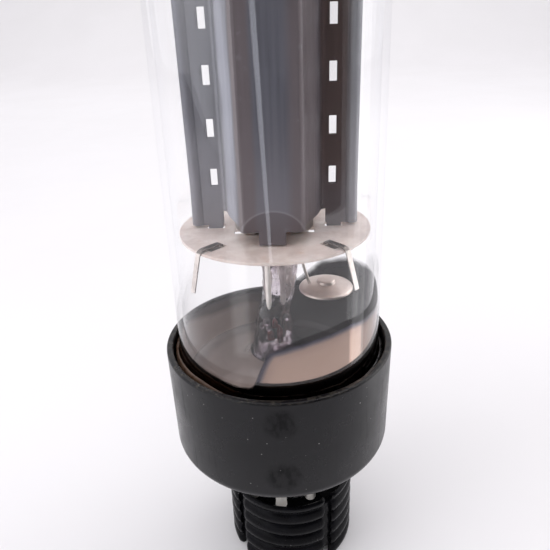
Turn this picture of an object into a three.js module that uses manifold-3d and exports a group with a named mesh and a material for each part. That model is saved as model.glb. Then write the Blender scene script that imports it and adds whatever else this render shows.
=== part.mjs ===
// Octal-base glass beam power tube standing in a ribbed pin sleeve. Millimetres, +Z up.
// Z 0 is the foot of the sleeve; the tube axis is X 0, Y 0; the anode's broad front face looks along -Y.
import * as THREE from 'three'
import { mergeVertices } from 'three/addons/utils/BufferGeometryUtils.js'
import Module from 'manifold-3d'

const wasm = await Module()
wasm.setup()

const group = new THREE.Group()
const DEG = Math.PI / 180
const QUADRANTS = [[-1, 1], [1, 1], [1, -1], [-1, -1]]
const GAP = 0.3

// ---- heights of the main levels ----
const RIM_Z = 52
const BASE_FLOOR_Z = RIM_Z - 22.9
const WAFER_Z = RIM_Z - 27.4
const PIN_TIP_Z = WAFER_Z - 11
const SPIGOT_Z = WAFER_Z - 14.3
const BULB_FOOT_Z = RIM_Z - 10.2
const DOME_Z = RIM_Z + 70
const BULB_TOP_Z = RIM_Z + 82
const MICA_T = 0.5
const MICA_LOW_Z = RIM_Z + 22.94
const MICA_HIGH_Z = RIM_Z + 68.1
const MICA_R = 17.5

// ---- base, pins and sleeve ----
const BASE_R = 22.5
const BASE_FOOT_R = 22.35
const RIM_IN_R = 21.18
const WAFER_R = 16.3
const PIN_CIRCLE_R = 8.73
const PIN_R = 1.18
const PIN_COUNT = 8
const SPIGOT_R = 3.95
const BASE_TURN = -2.6
const SLEEVE_R = 13.93
const SLEEVE_TOP_Z = 18.3
const SLEEVE_CUP_Z = 16
const SLEEVE_TURN = -7.8
const SLEEVE_SHIFT = 1.5

// ---- anode ----
const SHEET = 0.5
const ANODE_LOW_Z = RIM_Z + 23.9
const ANODE_HIGH_Z = RIM_Z + 67.4
const BOX_HALF = 8.5
const FACE_HALF = 4.93
const FACE_Y = 10.94
const WING_X = 12.7
const CURL_X = 13.85
const CURL_R = 1.15
const NOTCH_X = 9.33
const BOX_TRIM = 2.35
const GRID_1_X = 3.9
const GRID_2_X = 5.8
const SLOT_X = 10.5
const SLOT_W = 1.3
const SLOT_H = 3.16
const SLOT_PITCH = 8.58
const SLOT_FIRST_Z = RIM_Z + 31.17

function material(color, roughness, metalness, opacity = 1) {
  const m = new THREE.MeshStandardMaterial({ color, roughness, metalness })
  if (opacity < 1) {
    m.transparent = true
    m.opacity = opacity
    m.side = THREE.DoubleSide
  }
  return m
}

const BLACK_PLASTIC = () => material(0x17171a, 0.55, 0)
const GLOSS_BLACK = () => material(0x0c0c0e, 0.22, 0)
const NICKEL = () => material(0xc9c6c0, 0.28, 1)
const GLASS = () => material(0xeef2f4, 0.05, 0, 0.25)
const MICA = () => material(0xcdbcae, 0.5, 0)
const ANODE_GREY = () => material(0x3c3a40, 0.5, 0.6)

function add(name, geometry, mat) {
  geometry.computeVertexNormals()
  const mesh = new THREE.Mesh(geometry, mat)
  mesh.name = name
  group.add(mesh)
  return mesh
}

// ---- shape helpers ----
function lathe(points, segments) {
  const profile = points.map(([r, z]) => new THREE.Vector2(r, z))
  const geometry = new THREE.LatheGeometry(profile, segments)
  geometry.rotateX(Math.PI / 2)
  geometry.deleteAttribute('normal')
  geometry.deleteAttribute('uv')
  return outward(mergeVertices(geometry, 1e-4))
}

function signedVolume(geometry) {
  const p = geometry.attributes.position
  const index = geometry.index
  const a = new THREE.Vector3()
  const b = new THREE.Vector3()
  const c = new THREE.Vector3()
  let sum = 0
  for (let i = 0; i < index.count; i += 3) {
    a.fromBufferAttribute(p, index.getX(i))
    b.fromBufferAttribute(p, index.getX(i + 1))
    c.fromBufferAttribute(p, index.getX(i + 2))
    sum += a.dot(b.cross(c)) / 6
  }
  return sum
}

function outward(geometry) {
  const kept = []
  const index = geometry.index.array
  for (let i = 0; i < index.length; i += 3) {
    const [a, b, c] = [index[i], index[i + 1], index[i + 2]]
    if (a !== b && b !== c && a !== c) {
      kept.push(a, b, c)
    }
  }
  geometry.setIndex(kept)
  if (signedVolume(geometry) < 0) {
    for (let i = 0; i < kept.length; i += 3) {
      const swap = kept[i]
      kept[i] = kept[i + 1]
      kept[i + 1] = swap
    }
    geometry.setIndex(kept)
  }
  return geometry
}

function box(x0, x1, y0, y1, z0, z1) {
  const geometry = new THREE.BoxGeometry(x1 - x0, y1 - y0, z1 - z0)
  geometry.translate((x0 + x1) / 2, (y0 + y1) / 2, (z0 + z1) / 2)
  return geometry
}

function prism(points, z0, z1, steps = 1) {
  const shape = new THREE.Shape(points.map(([x, y]) => new THREE.Vector2(x, y)))
  const settings = { depth: z1 - z0, bevelEnabled: false, steps }
  const geometry = new THREE.ExtrudeGeometry(shape, settings)
  geometry.translate(0, 0, z0)
  return geometry
}

function rod(radius, z0, z1, segments = 16) {
  const edge = Math.min(0.2 * radius, 0.2)
  const profile = [[0, z0], [radius - edge, z0], [radius, z0 + edge]]
  profile.push([radius, z1 - edge], [radius - edge, z1], [0, z1])
  return lathe(profile, segments)
}

function tubeAlong(points, radius, around = 8, steps = 24) {
  const curve = new THREE.CatmullRomCurve3(points.map((p) => new THREE.Vector3(...p)), false, 'centripetal')
  const outline = []
  for (let i = 0; i < around; i += 1) {
    const a = (2 * Math.PI * i) / around
    outline.push(new THREE.Vector2(radius * Math.cos(a), radius * Math.sin(a)))
  }
  const shape = new THREE.Shape(outline)
  const geometry = new THREE.ExtrudeGeometry(shape, { steps, bevelEnabled: false, extrudePath: curve })
  return closed(geometry)
}

function closed(geometry) {
  const bare = geometry.clone()
  bare.deleteAttribute('normal')
  bare.deleteAttribute('uv')
  const merged = mergeVertices(bare, 1e-4)
  return outward(merged)
}

function solid(geometry) {
  const g = closed(geometry)
  const vertProperties = new Float32Array(g.attributes.position.array)
  const triVerts = new Uint32Array(g.index.array)
  return new wasm.Manifold(new wasm.Mesh({ numProp: 3, vertProperties, triVerts }))
}

function fromSolid(manifold) {
  const mesh = manifold.getMesh()
  const geometry = new THREE.BufferGeometry()
  const positions = []
  for (let i = 0; i < mesh.vertProperties.length; i += mesh.numProp) {
    positions.push(mesh.vertProperties[i], mesh.vertProperties[i + 1], mesh.vertProperties[i + 2])
  }
  geometry.setAttribute('position', new THREE.Float32BufferAttribute(positions, 3))
  geometry.setIndex(Array.from(mesh.triVerts))
  return geometry
}

function cut(base, tools) {
  let result = base
  for (const tool of tools) {
    result = result.subtract(tool)
  }
  return result
}

function around(turn, radius) {
  // direction angle counted from the front (-Y) towards +X
  const a = turn * DEG
  return [radius * Math.sin(a), -radius * Math.cos(a)]
}

// ---- pin sleeve: inner cup with four ribbed grip panels ----
function sleeveProfile() {
  const ribPitch = 3.35
  const firstRib = SLEEVE_TOP_Z - 0.5
  const valley = SLEEVE_R - 0.55
  const points = [[12.4, 0], [SLEEVE_R - 0.4, 0], [SLEEVE_R - 0.1, 0.3]]
  for (let k = 5; k >= 0; k -= 1) {
    const z = firstRib - ribPitch * k
    points.push([SLEEVE_R, z - 0.5], [SLEEVE_R, z + (k > 0 ? 0.5 : 0.15)])
    if (k > 0) {
      points.push([valley, z + ribPitch / 2])
    }
  }
  // the inner top edge slopes down, so the pins can be seen over it
  points.push([SLEEVE_R - 0.4, SLEEVE_TOP_Z], [13.1, SLEEVE_TOP_Z - 0.3], [12.4, SLEEVE_CUP_Z + 0.2])
  points.push([12.4, 0])
  return points
}

function makeSleeve() {
  const ribbed = solid(lathe(sleeveProfile(), 36))
  const slots = []
  for (let k = 0; k < 4; k += 1) {
    const cutter = box(12.6, 16, -1, 1, -1, SLEEVE_TOP_Z + 1)
    cutter.rotateZ((45 + 90 * k) * DEG)
    slots.push(solid(cutter))
    const lower = box(12.2, 16, -1, 1, -1, 2.6)
    lower.rotateZ((45 + 90 * k) * DEG)
    slots.push(solid(lower))
  }
  const cup = [[6.6, 11], [11.8, 11], [11.8, 2.5], [12.8, 2.5], [12.8, SLEEVE_CUP_Z - 0.2]]
  cup.push([12.6, SLEEVE_CUP_Z], [11.8, SLEEVE_CUP_Z], [11.8, 13.3], [6.6, 13.3], [6.6, 11])
  const body = cut(ribbed, slots).add(solid(lathe(cup, 36)))
  const geometry = fromSolid(body)
  geometry.rotateZ(SLEEVE_TURN * DEG)
  geometry.translate(SLEEVE_SHIFT, 0, 0)
  return geometry
}

// ---- base shell: cup, wafer step and keyed spigot ----
function makeBase() {
  const bore = SPIGOT_R - 0.95
  const profile = [[0, SPIGOT_Z], [SPIGOT_R - 0.6, SPIGOT_Z], [SPIGOT_R, SPIGOT_Z + 0.6]]
  profile.push([SPIGOT_R, WAFER_Z], [WAFER_R - 0.5, WAFER_Z], [WAFER_R, WAFER_Z + 0.5])
  profile.push([WAFER_R, BASE_FLOOR_Z], [BASE_FOOT_R - 2.6, BASE_FLOOR_Z])
  for (let i = 1; i <= 6; i += 1) {
    const a = (i / 6) * 90 * DEG
    profile.push([BASE_FOOT_R - 2.6 + 2.6 * Math.sin(a), BASE_FLOOR_Z + 2.6 - 2.6 * Math.cos(a)])
  }
  profile.push([BASE_R, RIM_Z - 0.3], [BASE_R - 0.3, RIM_Z], [RIM_IN_R + 0.3, RIM_Z])
  profile.push([RIM_IN_R, RIM_Z - 0.3], [RIM_IN_R - 0.3, RIM_Z - 17.5], [RIM_IN_R - 1.3, RIM_Z - 18.5])
  profile.push([15, RIM_Z - 19.4], [14.2, RIM_Z - 20.2], [14.2, WAFER_Z + 2.8])
  profile.push([bore, WAFER_Z + 2.8], [bore, SPIGOT_Z + 1.5], [0, SPIGOT_Z + 1.5])
  const holes = []
  for (let k = 0; k < PIN_COUNT; k += 1) {
    const [x, y] = around(BASE_TURN + 45 * k, PIN_CIRCLE_R)
    const hole = new THREE.CylinderGeometry(PIN_R + 0.34, PIN_R + 0.34, 8, 14)
    hole.rotateX(Math.PI / 2)
    hole.translate(x, y, WAFER_Z + 1.4)
    holes.push(solid(hole))
  }
  const key = box(-0.75, 0.75, -SPIGOT_R - 0.75, -SPIGOT_R + 0.5, SPIGOT_Z + 0.4, WAFER_Z + 0.5)
  key.rotateZ((BASE_TURN + 22.5) * DEG)
  return fromSolid(cut(solid(lathe(profile, 40)).add(solid(key)), holes))
}

function makePin(k) {
  const z = PIN_TIP_Z
  const top = WAFER_Z + 4.4
  const profile = [[0, z], [0.7, z], [1.05, z + 0.45], [PIN_R, z + 1.3]]
  profile.push([PIN_R, top - 0.2], [PIN_R - 0.2, top], [0, top])
  const geometry = lathe(profile, 14)
  const [x, y] = around(BASE_TURN + 45 * k, PIN_CIRCLE_R)
  geometry.translate(x, y, 0)
  return geometry
}

// ---- cement ring between the glass and the rim ----
function makeCement() {
  const glassSide = 19.88 + GAP
  const rimSide = RIM_IN_R - GAP
  const profile = [[glassSide, RIM_Z - 7], [rimSide - 0.2, RIM_Z - 7], [rimSide - 0.05, RIM_Z - 2.0]]
  profile.push([rimSide - 0.15, RIM_Z - 1.5], [glassSide + 0.15, RIM_Z - 1.3])
  profile.push([glassSide, RIM_Z - 1.6], [glassSide, RIM_Z - 7])
  return lathe(profile, 44)
}

// ---- glass bulb, stem and exhaust tube ----
function makeBulb() {
  const outer = [[17.9, -10.2], [18.8, -9.2], [19.5, -6.5], [19.84, -1], [19.7, 20]]
  outer.push([19.5, 40], [19.05, 70])
  const inner = [[17.86, 70], [18.3, 40], [18.5, 20], [18.66, -1], [18.3, -6.2]]
  inner.push([17.7, -8.4], [17.1, -9.3])
  const profile = outer.map(([r, z]) => [r, RIM_Z + z])
  for (let i = 1; i <= 7; i += 1) {
    const a = (i / 7) * 90 * DEG
    profile.push([19.05 * Math.cos(a), DOME_Z + 12 * Math.sin(a)])
  }
  profile[profile.length - 1][0] = 0
  for (let i = 7; i >= 1; i -= 1) {
    const a = (i / 7) * 90 * DEG
    profile.push([i === 7 ? 0 : 17.86 * Math.cos(a), DOME_Z + 10.8 * Math.sin(a)])
  }
  profile.push(...inner.map(([r, z]) => [r, RIM_Z + z]))
  profile.push([17.9, RIM_Z - 10.2])
  return lathe(profile, 44)
}

function ovalRing(halfX, halfY, z, power, count) {
  const ring = []
  for (let i = 0; i < count; i += 1) {
    const a = (2 * Math.PI * i) / count
    const c = Math.cos(a)
    const s = Math.sin(a)
    const x = halfX * Math.sign(c) * Math.abs(c) ** (2 / power)
    const y = halfY * Math.sign(s) * Math.abs(s) ** (2 / power)
    ring.push([x, y, z])
  }
  return ring
}

function loft(rings, capStart, capEnd) {
  const count = rings[0].length
  const positions = []
  const index = []
  for (const ring of rings) {
    for (const p of ring) {
      positions.push(...p)
    }
  }
  for (let r = 0; r + 1 < rings.length; r += 1) {
    for (let i = 0; i < count; i += 1) {
      const j = (i + 1) % count
      const a = r * count + i
      const b = r * count + j
      const c = (r + 1) * count + i
      const d = (r + 1) * count + j
      index.push(a, b, d, a, d, c)
    }
  }
  const addCap = (ringIndex, flip) => {
    const ring = rings[ringIndex]
    const centre = [0, 0, 0]
    for (const p of ring) {
      centre[0] += p[0] / count
      centre[1] += p[1] / count
      centre[2] += p[2] / count
    }
    positions.push(...centre)
    const m = positions.length / 3 - 1
    for (let i = 0; i < count; i += 1) {
      const a = ringIndex * count + i
      const b = ringIndex * count + ((i + 1) % count)
      if (flip) {
        index.push(m, b, a)
      } else {
        index.push(m, a, b)
      }
    }
  }
  if (capStart) {
    addCap(0, true)
  }
  if (capEnd) {
    addCap(rings.length - 1, false)
  }
  const geometry = new THREE.BufferGeometry()
  geometry.setAttribute('position', new THREE.Float32BufferAttribute(positions, 3))
  geometry.setIndex(index)
  return outward(geometry)
}

const LEADS = [[-1.4, -5], [1.2, -3], [-1.4, -1], [1.2, 1], [-1.4, 3], [1.2, 5]]

const STEM_LEAN = 0.6

function makeStem() {
  const n = 28
  const outer = [[16.7, 16.7, -9.9, 2], [15, 15, -9.2, 2], [11, 11, -8.1, 2], [7.6, 7.6, -6.4, 2]]
  outer.push([5.7, 5.9, -4, 2], [4.7, 5.5, -1, 2.1], [3.9, 5.9, 2, 2.3], [3.3, 6.2, 5, 2.6])
  outer.push([3.0, 6.4, 8, 3], [3.1, 6.5, 12, 3.2], [3.3, 6.5, 16, 3.2])
  outer.push([3.2, 6.4, 18.6, 3], [2.6, 5.9, 19.2, 2.8])
  const inner = [[1, 1, 0.4, 2], [2.4, 2.4, -0.6, 2], [3.3, 3.3, -3, 2], [4.6, 4.6, -5.2, 2]]
  inner.push([6.6, 6.6, -7.4, 2], [10.6, 10.6, -9.3, 2], [14.8, 14.8, -10.4, 2], [16.5, 16.5, -10.9, 2])
  const rings = []
  for (const [hx, hy, z, p] of inner) {
    rings.push(ovalRing(hx, hy, RIM_Z + z, p, n))
  }
  for (const [hx, hy, z, p] of outer) {
    const lean = z < -2 ? 0 : STEM_LEAN * Math.sin((z - 4) * 0.14)
    rings.push(ovalRing(hx, hy, RIM_Z + z, p, n).map(([x, y, h]) => [x + lean, y, h]))
  }
  const body = solid(loft(rings, true, true))
  const bores = LEADS.map(([x, y]) => {
    const bore = new THREE.CylinderGeometry(0.88, 0.88, 14, 10)
    bore.rotateX(Math.PI / 2)
    bore.translate(x, y, RIM_Z + 15)
    return solid(bore)
  })
  return fromSolid(cut(body, bores))
}

// ---- micas ----
function micaCutters(z0, z1) {
  const cutters = []
  const hole = (x0, x1, y0, y1) => cutters.push(solid(box(x0, x1, y0, y1, z0, z1)))
  for (const sx of [-1, 1]) {
    for (const sy of [-1, 1]) {
      const x = 6.2 * sx
      const y = 3.0 * sy
      hole(x - 1, x + 1, y - 1.1, y + 1.1)
    }
    hole(10.85 * sx - 1.65, 10.85 * sx + 1.65, -1.1, 1.1)
    for (const x of [GRID_1_X, GRID_2_X]) {
      const rodHole = new THREE.CylinderGeometry(0.84, 0.84, z1 - z0, 10)
      rodHole.rotateX(Math.PI / 2)
      rodHole.translate(x * sx, 0, (z0 + z1) / 2)
      cutters.push(solid(rodHole))
    }
  }
  hole(-3.3, 3.3, -1.15, 1.15)
  return cutters
}

const SPRING_TURN = 43.2
const SPRING_LEAN = 0.33

function makeMica(z, radius, withSpringSlots) {
  const disc = [[0, z], [radius - 0.06, z], [radius, z + 0.1], [radius, z + MICA_T - 0.1]]
  disc.push([radius - 0.06, z + MICA_T], [0, z + MICA_T])
  const cutters = micaCutters(z - 1, z + MICA_T + 1)
  if (withSpringSlots) {
    const slot = box(-0.95, 0.95, -15.9, -12.4, z - 1, z + MICA_T + 1)
    slot.rotateZ(SPRING_TURN * DEG)
    for (const [mx, my] of QUADRANTS) {
      const copy = slot.clone()
      copy.scale(mx, my, 1)
      cutters.push(solid(copy))
    }
  }
  return fromSolid(cut(solid(lathe(disc, 44)), cutters))
}

// ---- springs that centre the lower mica in the glass ----
function ribbon(path, thickness, width) {
  const left = []
  const right = []
  for (let i = 0; i < path.length; i += 1) {
    const before = path[Math.max(i - 1, 0)]
    const after = path[Math.min(i + 1, path.length - 1)]
    const dx = after[0] - before[0]
    const dy = after[1] - before[1]
    const length = Math.hypot(dx, dy)
    const nx = -dy / length
    const ny = dx / length
    left.push([path[i][0] + (nx * thickness) / 2, path[i][1] + (ny * thickness) / 2])
    right.push([path[i][0] - (nx * thickness) / 2, path[i][1] - (ny * thickness) / 2])
  }
  const geometry = prism([...left, ...right.reverse()], -width / 2, width / 2)
  geometry.rotateX(Math.PI / 2)
  return geometry
}

function makeSpring([mx, my]) {
  const top = MICA_LOW_Z + MICA_T + 0.45
  const path = [[12.95, top - 1.9], [12.95, top - 0.5], [13.1, top - 0.15], [13.45, top]]
  path.push([16.7, top], [17.3, top - 0.12], [17.65, top - 0.5], [17.75, top - 1.2], [17.7, top - 8.6])
  const geometry = ribbon(path, 0.24, 1.1)
  const p = geometry.attributes.position
  for (let i = 0; i < p.count; i += 1) {
    if (p.getX(i) > 17.2) {
      p.setY(i, p.getY(i) + SPRING_LEAN * (top - p.getZ(i)))
    }
  }
  geometry.rotateZ((SPRING_TURN - 90) * DEG)
  geometry.scale(mx, my, 1)
  return closed(geometry)
}

// ---- anode halves ----
function anodePath(curled) {
  const wingY = -(GAP / 2 + SHEET / 2)
  const half = []
  if (curled) {
    const r = CURL_R - SHEET / 2 + 0.02
    for (let i = 0; i <= 10; i += 1) {
      const a = (150 - 30 * i) * DEG
      half.push([CURL_X + r * Math.cos(a), 0.12 + r * Math.sin(a)])
    }
    half.push([WING_X - 0.15, wingY])
  } else {
    half.push([WING_X - 0.2, wingY])
  }
  half.push([BOX_HALF + 0.75, wingY], [BOX_HALF + 0.2, wingY - 0.15], [BOX_HALF - 0.1, wingY - 0.7])
  half.push([BOX_HALF - 0.45, -2.2], [BOX_HALF - 1.6, -5.6], [FACE_HALF + 0.75, -FACE_Y + 2.1])
  half.push([FACE_HALF + 0.35, -FACE_Y + 1.0], [FACE_HALF - 0.1, -FACE_Y + 0.45])
  half.push([FACE_HALF - 0.7, -FACE_Y + SHEET / 2])
  const mirrored = half.slice().reverse().map(([x, y]) => [-x, y])
  return [...half, ...mirrored]
}

function thicken(path, thickness) {
  const left = []
  const right = []
  const normals = []
  for (let i = 0; i + 1 < path.length; i += 1) {
    const dx = path[i + 1][0] - path[i][0]
    const dy = path[i + 1][1] - path[i][1]
    const length = Math.hypot(dx, dy)
    normals.push([-dy / length, dx / length])
  }
  for (let i = 0; i < path.length; i += 1) {
    const n0 = normals[Math.max(i - 1, 0)]
    const n1 = normals[Math.min(i, normals.length - 1)]
    const sx = n0[0] + n1[0]
    const sy = n0[1] + n1[1]
    const scale = 2 / (sx * sx + sy * sy)
    const ox = sx * scale * thickness * 0.5
    const oy = sy * scale * thickness * 0.5
    left.push([path[i][0] + ox, path[i][1] + oy])
    right.push([path[i][0] - ox, path[i][1] - oy])
  }
  return [...left, ...right.reverse()]
}

function anodeTrims() {
  // end cut-outs of one half: box edges shorter than the wings, one centre tab or notch, wing tabs
  const trims = []
  const trim = (x0, x1, z0, z1) => trims.push(solid(box(x0, x1, -20, 5, z0, z1)))
  const lowEdge = ANODE_LOW_Z + BOX_TRIM
  const highEdge = ANODE_HIGH_Z - BOX_TRIM
  const tab = 2.26
  trim(-NOTCH_X, -tab, ANODE_LOW_Z - 5, lowEdge - 0.25)
  trim(tab, NOTCH_X, ANODE_LOW_Z - 5, lowEdge - 0.25)
  trim(-NOTCH_X, -FACE_HALF, lowEdge - 0.5, lowEdge + 0.3)
  trim(FACE_HALF, NOTCH_X, lowEdge - 0.5, lowEdge + 0.3)
  trim(-tab - 1, tab + 1, ANODE_LOW_Z - 5, ANODE_LOW_Z - 0.16)
  trim(-NOTCH_X, NOTCH_X, highEdge, ANODE_HIGH_Z + 5)
  trim(-tab, tab, highEdge - 2.2, ANODE_HIGH_Z + 5)
  for (const s of [-1, 1]) {
    for (const [x0, x1] of [[NOTCH_X - 0.2, 9.55], [12.15, 17]]) {
      const a = Math.min(x0 * s, x1 * s)
      const b = Math.max(x0 * s, x1 * s)
      trim(a, b, ANODE_LOW_Z - 5, ANODE_LOW_Z)
      trim(a, b, ANODE_HIGH_Z, ANODE_HIGH_Z + 5)
    }
    for (let k = 0; k < 4; k += 1) {
      const z = SLOT_FIRST_Z + SLOT_PITCH * k
      trim(SLOT_X * s - SLOT_W / 2, SLOT_X * s + SLOT_W / 2, z, z + SLOT_H)
    }
  }
  return trims
}

function archRecess() {
  const points = []
  const rise = 2.65
  const half = FACE_HALF - 0.25
  const radius = (half * half + rise * rise) / (2 * rise)
  const centre = RIM_Z + 29.65 - radius
  const sweep = Math.asin(half / radius)
  for (let i = 0; i <= 12; i += 1) {
    const a = -sweep + (2 * sweep * i) / 12
    points.push([radius * Math.sin(a), centre + radius * Math.cos(a)])
  }
  points.push([half, RIM_Z + 22], [-half, RIM_Z + 22])
  const geometry = prism(points, FACE_Y - 0.2, FACE_Y + 2)
  geometry.rotateX(Math.PI / 2)
  return solid(geometry)
}

function flareFoot(geometry) {
  const p = geometry.attributes.position
  for (let i = 0; i < p.count; i += 1) {
    const x = p.getX(i)
    const down = (RIM_Z + 32 - p.getZ(i)) / 8
    const out = (Math.abs(x) - 12.4) / 1.6
    if (down > 0 && out > 0) {
      p.setX(i, x + Math.sign(x) * 0.52 * Math.min(down, 1.1) ** 1.5 * Math.min(out, 1))
    }
  }
  return geometry
}

function makeAnodeHalf(front) {
  const outline = thicken(anodePath(front), SHEET)
  const tabDrop = 0.9
  const sheet = solid(prism(outline, ANODE_LOW_Z - tabDrop, ANODE_HIGH_Z + tabDrop, 8))
  const geometry = flareFoot(fromSolid(cut(cut(sheet, anodeTrims()), [archRecess()])))
  if (!front) {
    geometry.rotateZ(Math.PI)
  }
  return geometry
}

// ---- electrodes inside the anode ----
function makeBeamPlate(side) {
  const bend = [[6.85, 1.6], [6.2, 3.4], [5.0, 5.0], [3.2, 5.4]]
  const path = [...bend.map(([x, y]) => [x, -y]).reverse(), ...bend]
  const plate = prism(thicken(path, 0.4), MICA_LOW_Z + MICA_T + GAP, MICA_HIGH_Z - GAP)
  if (side < 0) {
    plate.rotateZ(Math.PI)
  }
  return closed(plate)
}

function stadium(halfX, halfY, count) {
  const points = []
  for (let i = 0; i < count; i += 1) {
    const a = (2 * Math.PI * i) / count
    const c = Math.cos(a)
    const s = Math.sin(a)
    points.push([halfX * Math.sign(c) * Math.abs(c) ** 0.7, halfY * Math.sign(s) * Math.abs(s) ** 0.7])
  }
  return points
}

function makeCathode() {
  const outer = new THREE.Shape(stadium(2.9, 0.8, 24).map(([x, y]) => new THREE.Vector2(x, y)))
  const bore = stadium(2.65, 0.58, 24).map(([x, y]) => new THREE.Vector2(x, y))
  outer.holes.push(new THREE.Path(bore.reverse()))
  const depth = MICA_HIGH_Z - MICA_LOW_Z + 2.4
  const geometry = new THREE.ExtrudeGeometry(outer, { depth, bevelEnabled: false, steps: 1 })
  geometry.translate(0, 0, MICA_LOW_Z - 0.9)
  return closed(geometry)
}

function makeHeater() {
  // one folded wire: four legs inside the cathode sleeve
  const low = MICA_LOW_Z - 1.6
  const high = MICA_HIGH_Z + 0.4
  const xs = [-1.35, -0.45, 0.45, 1.35]
  const points = []
  points.push([xs[0], 0, low], [xs[0], 0, low + 8], [xs[0], 0, high - 1], [(xs[0] + xs[1]) / 2, 0, high])
  points.push([xs[1], 0, high - 1], [xs[1], 0, low + 9], [xs[1], 0, low + 2], [0, 0, low + 1])
  points.push([xs[2], 0, low + 2], [xs[2], 0, low + 9], [xs[2], 0, high - 1], [(xs[2] + xs[3]) / 2, 0, high])
  points.push([xs[3], 0, high - 1], [xs[3], 0, low + 8], [xs[3], 0, low])
  return tubeAlong(points, 0.2, 5, 44)
}

function makeGrid(halfX, halfY, rodR, wireR, turns) {
  const low = MICA_LOW_Z - 1.2
  const high = MICA_HIGH_Z + MICA_T + 1.6
  let body = null
  for (const s of [-1, 1]) {
    const post = rod(rodR, low, high, 10)
    post.translate(s * halfX, 0, 0)
    const m = solid(post)
    body = body ? body.add(m) : m
  }
  const start = MICA_LOW_Z + 4
  const pitch = (MICA_HIGH_Z - MICA_LOW_Z - 8) / (turns - 1)
  for (let k = 0; k < turns; k += 1) {
    const z = start + pitch * k
    const rings = []
    const count = 12
    const loop = stadium(1, 1, count)
    for (const [dr, dz] of [[wireR, 0], [0, wireR], [-wireR, 0], [0, -wireR], [wireR, 0]]) {
      rings.push(loop.map(([x, y]) => [x * (halfX + dr), y * (halfY + dr), z + dz]))
    }
    body = body.add(solid(loft(rings, false, false)))
  }
  return fromSolid(body)
}

// ---- getter and lead wires ----
const GETTER = [9.5, -0.8, RIM_Z + 10.95]

function makeGetterPan() {
  const profile = [[0, 1.25], [1.5, 1.25], [1.75, 1.1], [3.2, 0.5], [4.7, 0], [5.0, -0.35], [5.2, -0.35]]
  profile.push([5.2, 0.1], [4.95, 0.35], [3.3, 0.85], [2.0, 1.45], [1.65, 1.6], [0, 1.6])
  const geometry = lathe(profile, 28)
  geometry.translate(...GETTER)
  return geometry
}

function makeGetterWire() {
  const foot = GETTER[2] + 1.15
  const top = MICA_LOW_Z - 0.34
  const points = [[6.3, -1.3, foot], [6.0, -1.3, foot + 1.0], [5.1, -1.3, foot + 4.2], [3.6, -1.3, top]]
  return tubeAlong(points, 0.3, 10, 12)
}

function makeLead(k) {
  const [x, y] = LEADS[k]
  const short = Math.abs(y) < 2 ? 1.7 : 0
  const geometry = rod(0.54, RIM_Z + 8.4, MICA_LOW_Z - 0.35 - short, 10)
  geometry.translate(x, y, 0)
  return geometry
}

// ---- assembly ----
add('pin_sleeve', makeSleeve(), GLOSS_BLACK())
add('base_shell', makeBase(), BLACK_PLASTIC())
for (let k = 0; k < PIN_COUNT; k += 1) {
  add(`pin_${k + 1}`, makePin(k), NICKEL())
}
add('base_cement', makeCement(), material(0x2b211b, 0.8, 0))
add('glass_bulb', makeBulb(), GLASS())
add('glass_stem', makeStem(), GLASS())
const exhaust = rod(2.3, SPIGOT_Z + 2.4, RIM_Z - 2.6, 20)
add('exhaust_tube', exhaust, GLASS())
add('mica_bottom', makeMica(MICA_LOW_Z, MICA_R, true), MICA())
add('mica_top', makeMica(MICA_HIGH_Z, MICA_R - 0.05, false), MICA())
add('anode_front', makeAnodeHalf(true), ANODE_GREY())
add('anode_rear', makeAnodeHalf(false), ANODE_GREY())
add('beam_plate_left', makeBeamPlate(-1), material(0x8a8a8c, 0.35, 1))
add('beam_plate_right', makeBeamPlate(1), material(0x8a8a8c, 0.35, 1))
add('cathode_sleeve', makeCathode(), material(0xdedbd2, 0.8, 0.1))
add('heater', makeHeater(), material(0xf0ece2, 0.8, 0))
add('control_grid', makeGrid(GRID_1_X, 1.9, 0.5, 0.14, 7), material(0xb6b2aa, 0.35, 1))
add('screen_grid', makeGrid(GRID_2_X, 3.0, 0.5, 0.14, 7), material(0x9c9a96, 0.4, 1))
add('getter_pan', makeGetterPan(), NICKEL())
add('getter_wire', makeGetterWire(), NICKEL())
QUADRANTS.forEach((signs, k) => {
  add(`mica_spring_${k + 1}`, makeSpring(signs), NICKEL())
})
for (let k = 0; k < LEADS.length; k += 1) {
  add(`lead_${k + 1}`, makeLead(k), NICKEL())
}

export default group
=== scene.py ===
"""Looks of a glass power vacuum tube that stands on a ribbed pin sleeve."""
import math

import bmesh
import bpy
from mathutils import Matrix, Vector, noise


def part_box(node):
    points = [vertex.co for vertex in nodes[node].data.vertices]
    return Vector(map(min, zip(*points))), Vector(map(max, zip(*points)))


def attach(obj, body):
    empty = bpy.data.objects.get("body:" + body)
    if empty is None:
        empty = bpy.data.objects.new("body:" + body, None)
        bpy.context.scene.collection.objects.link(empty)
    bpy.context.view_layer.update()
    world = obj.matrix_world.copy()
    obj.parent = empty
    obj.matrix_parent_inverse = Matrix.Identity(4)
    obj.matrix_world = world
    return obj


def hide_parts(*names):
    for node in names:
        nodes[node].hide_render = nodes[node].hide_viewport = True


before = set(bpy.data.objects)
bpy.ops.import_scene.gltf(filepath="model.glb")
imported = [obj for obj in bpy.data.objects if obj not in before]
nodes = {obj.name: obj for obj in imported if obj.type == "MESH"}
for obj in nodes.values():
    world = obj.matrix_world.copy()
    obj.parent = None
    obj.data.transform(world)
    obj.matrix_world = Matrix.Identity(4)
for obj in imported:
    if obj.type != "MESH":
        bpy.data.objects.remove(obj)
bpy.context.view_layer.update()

MM = 0.001
RIM = 52.0  # height of the base rim above the foot
MICA_LOW = RIM + 22.94
FRONT = -22.4  # where the base shell's front side lies


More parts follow.
